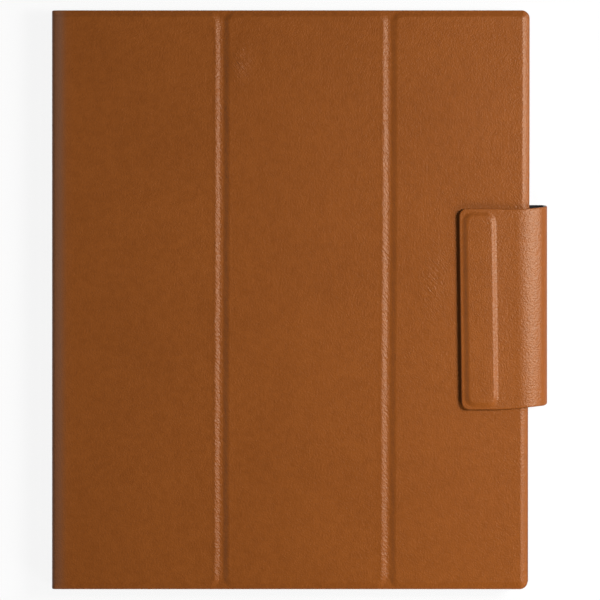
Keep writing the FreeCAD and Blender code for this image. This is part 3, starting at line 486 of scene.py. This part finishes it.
def tan_leather():
    """Finely pebbled tan leather.

    Soft cells and wrinkles make its bump. Its colour drifts slowly, and a grey painted sheen,
    standing in for a reflection, is mixed in along the spine.
    """
    material, shader, add, join = nodes_for("tan_leather")
    rest = add("ShaderNodeAttribute", attribute_name="rest")
    drift = add("ShaderNodeTexNoise", Scale=22.0, Detail=3.0, Roughness=0.55)
    mottle = add("ShaderNodeTexNoise", Scale=420.0, Detail=4.0, Roughness=0.6)
    cells = add("ShaderNodeTexVoronoi", feature="SMOOTH_F1", Scale=1450.0)
    cells.inputs["Smoothness"].default_value = 0.6
    fine = add("ShaderNodeTexNoise", Scale=3400.0, Detail=3.0, Roughness=0.6)
    for texture in (drift, mottle, cells, fine):
        join(rest.outputs["Vector"], texture.inputs["Vector"])
    tone = ramp(add, [(0.3, (0.238, 0.0630, 0.0074)), (0.7, (0.258, 0.0695, 0.0086))])
    join(drift.outputs["Fac"], tone.inputs["Fac"])
    fleck = ramp(add, [(0.35, (0.93, 0.92, 0.90)), (0.65, (1.05, 1.06, 1.08))])
    join(mottle.outputs["Fac"], fleck.inputs["Fac"])
    blend = add("ShaderNodeMix", data_type="RGBA", blend_type="MULTIPLY")
    blend.inputs["Factor"].default_value = 1.0
    join(tone.outputs["Color"], blend.inputs["A"])
    join(fleck.outputs["Color"], blend.inputs["B"])
    # painted sheen: this grey is mixed into the colour along the spine to stand in for a reflection
    # of light there
    sheen_mask = add("ShaderNodeAttribute", attribute_name="painted_sheen")
    sheen_mix = add("ShaderNodeMix", data_type="RGBA")
    join(sheen_mask.outputs["Fac"], sheen_mix.inputs["Factor"])
    join(blend.outputs["Result"], sheen_mix.inputs["A"])
    sheen_mix.inputs["B"].default_value = (0.244, 0.097, 0.043, 1.0)
    join(sheen_mix.outputs["Result"], shader.inputs["Base Color"])
    gloss = add("ShaderNodeMapRange", To_Min=0.36, To_Max=0.46)
    join(mottle.outputs["Fac"], gloss.inputs["Value"])
    join(gloss.outputs["Result"], shader.inputs["Roughness"])
    shader.inputs["Specular IOR Level"].default_value = 0.43
    shader.inputs["Specular Tint"].default_value = (1.0, 0.80, 0.62, 1.0)

    grain = add("ShaderNodeMath", operation="MULTIPLY_ADD")
    grain.inputs[1].default_value = 0.5
    join(fine.outputs["Fac"], grain.inputs[0])
    join(cells.outputs["Distance"], grain.inputs[2])
    bump = add("ShaderNodeBump", Strength=0.9, Distance=0.0001)
    join(grain.outputs["Value"], bump.inputs["Height"])

    # wrinkles: noise stretched along a diagonal, shown where the sheet is worn
    turned = add("ShaderNodeMapping", vector_type="TEXTURE")
    turned.inputs["Rotation"].default_value = (0, 0, math.radians(42))
    turned.inputs["Scale"].default_value = (1.0, 5.0, 1.0)
    join(rest.outputs["Vector"], turned.inputs["Vector"])
    lines = add("ShaderNodeTexNoise", Scale=1500.0, Detail=2.0, Roughness=0.5)
    join(turned.outputs["Vector"], lines.inputs["Vector"])
    mask = add("ShaderNodeAttribute", attribute_name="worn")
    wrinkle = add("ShaderNodeMath", operation="MULTIPLY")
    join(lines.outputs["Fac"], wrinkle.inputs[0])
    join(mask.outputs["Fac"], wrinkle.inputs[1])
    crease = add("ShaderNodeBump", Strength=1.0, Distance=0.0006)
    join(wrinkle.outputs["Value"], crease.inputs["Height"])
    join(bump.outputs["Normal"], crease.inputs["Normal"])
    join(crease.outputs["Normal"], shader.inputs["Normal"])
    return material


def black_microfibre():
    """Black microfibre: short nap that lies in soft strokes, with a dim sheen."""
    material, shader, add, join = nodes_for("black_microfibre")
    rest = add("ShaderNodeAttribute", attribute_name="rest")
    nap = add("ShaderNodeTexNoise", Scale=3800.0, Detail=3.0, Roughness=0.65)
    strokes = add("ShaderNodeTexNoise", Scale=60.0, Detail=3.0, Roughness=0.5)
    for texture in (nap, strokes):
        join(rest.outputs["Vector"], texture.inputs["Vector"])
    tone = ramp(add, [(0.3, (0.010, 0.010, 0.0105)), (0.7, (0.019, 0.019, 0.020))])
    join(strokes.outputs["Fac"], tone.inputs["Fac"])
    join(tone.outputs["Color"], shader.inputs["Base Color"])
    shader.inputs["Roughness"].default_value = 0.93
    shader.inputs["Sheen Weight"].default_value = 0.25
    shader.inputs["Sheen Roughness"].default_value = 0.5
    shader.inputs["Specular IOR Level"].default_value = 0.2
    bump = add("ShaderNodeBump", Strength=0.5, Distance=0.00006)
    join(nap.outputs["Fac"], bump.inputs["Height"])
    join(bump.outputs["Normal"], shader.inputs["Normal"])
    return material


def plain_finish(name, colour, other, scale, roughness, metallic=0.0, bump_mm=0.004):
    """A solid finish: two close tones mixed by noise, and a fine bump, on object coordinates."""
    material, shader, add, join = nodes_for(name)
    where = add("ShaderNodeTexCoord")
    noise = add("ShaderNodeTexNoise", Scale=scale, Detail=3.0, Roughness=0.55)
    join(where.outputs["Object"], noise.inputs["Vector"])
    tone = ramp(add, [(0.35, colour), (0.65, other)])
    join(noise.outputs["Fac"], tone.inputs["Fac"])
    join(tone.outputs["Color"], shader.inputs["Base Color"])
    shader.inputs["Roughness"].default_value = roughness
    shader.inputs["Metallic"].default_value = metallic
    bump = add("ShaderNodeBump", Strength=0.4, Distance=bump_mm * MM)
    join(noise.outputs["Fac"], bump.inputs["Height"])
    join(bump.outputs["Normal"], shader.inputs["Normal"])
    return material


def printed_glass():
    """The reader's front: pale electronic paper inside a dark printed border, under etched glass.

    The border is where the distance from the screen's middle passes half its width or height.
    """
    border_over = 3.0  # the border covers this much of the screen's own edge
    material, shader, add, join = nodes_for("printed_glass")
    where = add("ShaderNodeTexCoord")
    split = add("ShaderNodeSeparateXYZ")
    join(where.outputs["Object"], split.inputs["Vector"])
    screen_low, screen_high = low("screen_panel"), high("screen_panel")
    half = (screen_high - screen_low) / 2 - np.array([border_over, border_over, 0.0])
    centre = (screen_high + screen_low) / 2
    outside = []
    for axis, k in (("X", 0), ("Y", 1)):
        offset = add("ShaderNodeMath", operation="SUBTRACT")
        offset.inputs[1].default_value = centre[k] * MM
        join(split.outputs[axis], offset.inputs[0])
        size = add("ShaderNodeMath", operation="ABSOLUTE")
        join(offset.outputs["Value"], size.inputs[0])
        past = add("ShaderNodeMath", operation="GREATER_THAN")
        past.inputs[1].default_value = half[k] * MM
        join(size.outputs["Value"], past.inputs[0])
        outside.append(past)
    either = add("ShaderNodeMath", operation="MAXIMUM")
    join(outside[0].outputs["Value"], either.inputs[0])
    join(outside[1].outputs["Value"], either.inputs[1])
    paper = add("ShaderNodeTexNoise", Scale=2400.0, Detail=2.0)
    join(where.outputs["Object"], paper.inputs["Vector"])
    tone = ramp(add, [(0.35, PAPER_TONES[0]), (0.65, PAPER_TONES[1])])
    join(paper.outputs["Fac"], tone.inputs["Fac"])
    face = add("ShaderNodeMix", data_type="RGBA")
    join(either.outputs["Value"], face.inputs["Factor"])
    join(tone.outputs["Color"], face.inputs["A"])
    face.inputs["B"].default_value = (0.018, 0.018, 0.020, 1.0)
    join(face.outputs["Result"], shader.inputs["Base Color"])
    shader.inputs["Roughness"].default_value = 0.42
    shader.inputs["Coat Weight"].default_value = 0.25
    shader.inputs["Coat Roughness"].default_value = 0.22
    bump = add("ShaderNodeBump", Strength=0.15, Distance=0.00001)
    join(paper.outputs["Fac"], bump.inputs["Height"])
    join(bump.outputs["Normal"], shader.inputs["Normal"])
    return material


LEATHER = tan_leather()
LINING = black_microfibre()
PAPER_TONES = (0.47, 0.47, 0.445), (0.52, 0.52, 0.495)
DARK_METAL = plain_finish(
    "dark_anodised", (0.050, 0.052, 0.056), (0.066, 0.068, 0.073), 2600.0, 0.42, metallic=0.85
)
PALE_METAL = plain_finish(
    "plain_aluminium", (0.42, 0.43, 0.44), (0.50, 0.51, 0.52), 900.0, 0.38, metallic=0.9
)
STEEL = plain_finish(
    "nickel_steel", (0.55, 0.54, 0.52), (0.62, 0.61, 0.60), 1200.0, 0.30, metallic=1.0
)
BOARD = plain_finish("grey_board", (0.26, 0.23, 0.18), (0.34, 0.30, 0.24), 700.0, 0.9, bump_mm=0.03)
CIRCUIT = plain_finish("circuit_board", (0.012, 0.070, 0.035), (0.020, 0.095, 0.048), 500.0, 0.4)
FLEX = plain_finish("amber_flex", (0.30, 0.12, 0.018), (0.36, 0.15, 0.025), 700.0, 0.35)
DARK_PLASTIC = plain_finish(
    "dark_plastic", (0.016, 0.016, 0.018), (0.024, 0.024, 0.026), 1500.0, 0.5
)
FOIL = plain_finish(
    "battery_foil", (0.065, 0.065, 0.072), (0.09, 0.09, 0.098), 260.0, 0.38, 0.4, bump_mm=0.02
)
CLEAR = plain_finish("clear_film", (0.62, 0.64, 0.64), (0.68, 0.70, 0.70), 400.0, 0.15)
PAPER = plain_finish("electronic_paper", *PAPER_TONES, 2400.0, 0.6)

FINISHES = (
    (DARK_METAL, ("reader_casing", "power_button")),
    (printed_glass(), ("front_glass",)),
    (PALE_METAL, ("chassis",)),
    (STEEL, ("charging_socket", "shield_cans", "chassis_screws", "board_screws", "keeper_plate")),
    (STEEL, ("dock_magnets", "stand_magnets", "wake_magnet", "flap_magnets", "reader_magnets")),
    (BOARD, ("back_board", "spine_board", "panel_1_board", "panel_2_board", "panel_3_board")),
    (BOARD, ("flap_stiffener",)),
    (CIRCUIT, ("mainboard", "socket_board", "pen_digitizer")),
    (FLEX, ("screen_ribbon", "battery_lead", "socket_flex", "front_light_strip", "antennas")),
    (DARK_PLASTIC, ("glass_adhesive", "speakers", "power_switch", "cover_sensor")),
    (FOIL, ("battery",)),
    (CLEAR, ("touch_sensor", "light_guide")),
    (PAPER, ("screen_panel",)),
)
for material, names in FINISHES:
    for name in names:
        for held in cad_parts[name].material_slots:
            held.material = material


# ---- The folio ----
def even_marks(a, b, step):
    """Even marks from a to b, about a step apart."""
    return np.linspace(a, b, max(2, int(round(abs(b - a) / step)) + 1))


def to_fore(a):
    """Marks from a to the fore edge, close together over its slope and closest round its edge."""
    fore = s_of(FORE_X)
    inner = np.linspace(a, fore - 8.0, 26)
    outer = fore - np.concatenate([np.linspace(7.0, 1.2, 30), EDGE_MARKS])
    return np.concatenate([inner, outer])


def covers_for(layer):
    """All the pieces of one layer of the folio, from the back's fore edge round to the front's."""
    corner = s_of(SPINE_X + TURN_REACH)
    fold_1 = s_of(FOLD_1 - FOLD_REACH), s_of(FOLD_1 + FOLD_REACH)
    fold_2 = s_of(FOLD_2 - FOLD_REACH), s_of(FOLD_2 + FOLD_REACH)
    turn = even_marks(SPINE_REACH, corner, 0.12)
    stretches = (  # part, name, marks round the sheet, whether its corners are rounded
        ("spine", f"spine_{layer}_outer", np.linspace(-SPINE_REACH, SPINE_REACH, 9), False),
        ("front_turn", f"front_turn_{layer}", turn, False),
        ("back_turn", f"back_turn_{layer}", -turn[::-1], False),
        ("panel_1", f"panel_1_{layer}_sheet", np.linspace(corner, fold_1[0], 26), False),
        ("fold_1", f"fold_1_{layer}", even_marks(*fold_1, 0.16), False),
        ("panel_2", f"panel_2_{layer}_sheet", np.linspace(fold_1[1], fold_2[0], 26), False),
        ("fold_2", f"fold_2_{layer}", even_marks(*fold_2, 0.16), False),
        ("panel_3", f"panel_3_{layer}_sheet", to_fore(fold_2[1]), True),
        ("back", f"back_{layer}_sheet", -to_fore(corner)[::-1], True),
    )
    made = {}
    for part, name, marks, rounded in stretches:
        made[part] = cover_sheet(layer, name, marks, rounded)

    riders = (
        ("spine", "spine"),
        ("panel_1", "panel_1"),
        ("panel_2", "panel_2"),
        ("panel_3", "panel_3"),
        ("back", "back_cover"),
    )
    for part, body in riders:
        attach(made[part], body)
    folds = ("fold_1", "panel_1", "panel_2", FOLD_1), ("fold_2", "panel_2", "panel_3", FOLD_2)
    for part, a, b, x in folds:
        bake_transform(made[part])
    # the turn's two ends, as X in from the spine's face and Z, chosen for each layer's own bend
    first, last = ((0.4, 9.7), (1.1, 10.4)) if layer == "leather" else ((1.0, 10.0), (1.3, 10.3))
    on_spine = [(SPINE_X + first[0]) * MM, 0, first[1] * MM]
    on_panel = [(SPINE_X + last[0]) * MM, 0, last[1] * MM]
    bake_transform(made["front_turn"])
    on_spine[2], on_panel[2] = CLOSED_T * MM - on_spine[2], CLOSED_T * MM - on_panel[2]
    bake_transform(made["back_turn"])
    return made


def strap_for(layer):
    """All the pieces of one layer of the strap, from the back cover to the flap's free edge."""
    root_q, flap_q = STRAP_REACH - ROOT_SEAM, FLAP_Q + 0.5  # the seams before its root and flap
    root = even_marks(root_q, WALL_Q, 0.2)
    top = even_marks(WALL_Q, flap_q, 0.3)
    near = END_Q - np.concatenate([np.linspace(17.0, 1.2, 80), EDGE_MARKS])
    flap = np.concatenate([np.linspace(flap_q, near[0] - 0.5, 8), near])
    made = {
        "tongue": strap_sheet(layer, f"strap_tongue_{layer}", np.linspace(-0.02, root_q, 8)),
        "root": strap_sheet(layer, f"strap_root_{layer}", root),
        "top": strap_sheet(layer, f"strap_top_{layer}", top),
        "flap": strap_sheet(layer, f"flap_{layer}_sheet", flap, free_end=True),
    }
    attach(made["tongue"], "back_cover")
    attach(made["flap"], "flap_tip")
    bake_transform(made["root"])
    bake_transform(made["top"])
    return made


for layer in ("leather", "lining"):
    cover = covers_for(layer)
    strap = strap_for(layer)
    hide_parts(f"spine_{layer}")
    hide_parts(f"panel_1_{layer}")
    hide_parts(f"panel_2_{layer}")
    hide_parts(f"panel_3_{layer}")
    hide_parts(f"back_{layer}")
    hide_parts(f"strap_wall_{layer}")
    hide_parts(f"flap_{layer}")
    if layer == "leather":
        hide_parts("spine_upper_fold")
        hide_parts("spine_lower_fold")
        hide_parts("fold_web_1")
        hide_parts("fold_web_2")
        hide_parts("strap_root_bend")
        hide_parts("strap_top_bend")


# ---- Floor, light and camera ----
def pale_floor():
    """A white floor under the part, with its shadow kept.

    The white backdrop shines through it by a share, for the eye, glass and mirrors. Light meant for
    what hangs lower than the floor passes through, so a cover that swings down stays in sight.
    """
    material, shader, add, join = nodes_for("pale_floor")
    shader.inputs["Base Color"].default_value = (0.92, 0.92, 0.92, 1.0)
    shader.inputs["Roughness"].default_value = 0.9
    shader.inputs["Specular IOR Level"].default_value = 0.0
    through = add("ShaderNodeBsdfTransparent")
    path = add("ShaderNodeLightPath")
    seen = path.outputs["Is Camera Ray"]
    for ray in ("Is Transmission Ray", "Is Glossy Ray"):
        either = add("ShaderNodeMath", operation="MAXIMUM")
        join(seen, either.inputs[0])
        join(path.outputs[ray], either.inputs[1])
        seen = either.outputs["Value"]
    share = 0.89  # of the backdrop that shows through it
    lift = add("ShaderNodeMath", operation="MULTIPLY")
    lift.inputs[1].default_value = share
    join(seen, lift.inputs[0])
    clear = add("ShaderNodeMath", operation="MAXIMUM")
    join(lift.outputs["Value"], clear.inputs[0])
    join(path.outputs["Is Shadow Ray"], clear.inputs[1])
    mixed = add("ShaderNodeMixShader")
    join(clear.outputs["Value"], mixed.inputs["Fac"])
    join(shader.outputs["BSDF"], mixed.inputs[1])
    join(through.outputs["BSDF"], mixed.inputs[2])
    join(mixed.outputs["Shader"], material.node_tree.nodes["Material Output"].inputs["Surface"])
    half = 3.0
    corners = [(-half, -half, 0), (half, -half, 0), (half, half, 0), (-half, half, 0)]
    mesh = bpy.data.meshes.new("floor")
    mesh.from_pydata(corners, [], [(0, 1, 2, 3)])
    mesh.materials.append(material)
    floor = bpy.data.objects.new("floor", mesh)
    bpy.context.scene.collection.objects.link(floor)
    floor.location.z = -0.1 * MM  # just clear of the part's lowest face


def soft_light(name, place, size, power, colour):
    """A rectangular soft light at a place, turned towards the origin."""
    data = bpy.data.lights.new(name, "AREA")
    data.shape = "RECTANGLE"
    data.size, data.size_y = size
    data.energy = power
    data.color = colour
    lamp = bpy.data.objects.new(name, data)
    bpy.context.scene.collection.objects.link(lamp)
    lamp.location = place
    x, y, z = place
    lamp.rotation_euler = (math.atan2(math.hypot(x, y), z), 0.0, math.atan2(y, x) + math.pi / 2)
    return lamp


def backdrop():
    """The surroundings: dim walls that light the part, and a white backdrop behind it.

    The white is for the eye and for glass. Polished faces see a share of it too, but only as high
    as a backdrop stands.
    """
    world = bpy.data.worlds.new("studio")
    bpy.context.scene.world = world
    world.use_nodes = True
    nodes = world.node_tree.nodes
    add, join = node_tools(world.node_tree)
    where = add("ShaderNodeTexCoord")
    split = add("ShaderNodeSeparateXYZ")
    join(where.outputs["Generated"], split.inputs["Vector"])
    walls = ramp(add, [(0.35, (0.27, 0.28, 0.30)), (0.85, (0.035, 0.036, 0.038))])
    join(split.outputs["Z"], walls.inputs["Fac"])
    join(walls.outputs["Color"], nodes["Background"].inputs["Color"])
    white = add("ShaderNodeBackground", Color=(1.0, 1.0, 1.0, 1.0), Strength=1.0)
    path = add("ShaderNodeLightPath")
    direct = add("ShaderNodeMath", operation="MAXIMUM")
    join(path.outputs["Is Camera Ray"], direct.inputs[0])
    join(path.outputs["Is Transmission Ray"], direct.inputs[1])
    stands = add("ShaderNodeMapRange", From_Min=0.1, From_Max=0.35, To_Min=0.25, To_Max=0.0)
    join(split.outputs["Z"], stands.inputs["Value"])
    mirrored = add("ShaderNodeMath", operation="MULTIPLY")
    join(path.outputs["Is Glossy Ray"], mirrored.inputs[0])
    join(stands.outputs["Result"], mirrored.inputs[1])
    shown = add("ShaderNodeMath", operation="MAXIMUM")
    join(direct.outputs["Value"], shown.inputs[0])
    join(mirrored.outputs["Value"], shown.inputs[1])
    mixed = add("ShaderNodeMixShader")
    join(shown.outputs["Value"], mixed.inputs["Fac"])
    join(nodes["Background"].outputs["Background"], mixed.inputs[1])
    join(white.outputs["Background"], mixed.inputs[2])
    join(mixed.outputs["Shader"], nodes["World Output"].inputs["Surface"])


def lamps():
    """Three soft lights: the key from the fore edge, a weak fill, and one low at the near end."""
    soft_light("key", (0.455, 0.08, 0.455), (0.15, 0.2), 4.1, (1.0, 0.99, 0.97))
    soft_light("fill", (-0.70, -0.05, 0.75), (0.3, 0.6), 0.7, (0.95, 0.97, 1.0))
    low_fill = soft_light("low_fill", (0.38, -0.42, 0.32), (0.25, 0.2), 1.7, (1.0, 1.0, 0.98))
    low_fill.visible_glossy = False  # it lifts the near end without a streak on that edge


def overhead_camera():
    """A long lens straight above the part."""
    scene = bpy.context.scene
    camera = bpy.data.objects.new("camera", bpy.data.cameras.new("camera"))
    scene.collection.objects.link(camera)
    scene.camera = camera
    sensor, height, across = 36.0, 1.6, 0.23926  # across: the width seen at the closed top's height
    camera.data.sensor_width = sensor
    camera.data.lens = sensor * height / across
    camera.location = (0.00007, -0.0001, height + CLOSED_T * MM)
    camera.rotation_euler = (0.0, 0.0, 0.0)
    camera.data.clip_start, camera.data.clip_end = 0.05, 20.0


pale_floor()
backdrop()
lamps()
overhead_camera()
bpy.context.scene.view_settings.view_transform = "Standard"
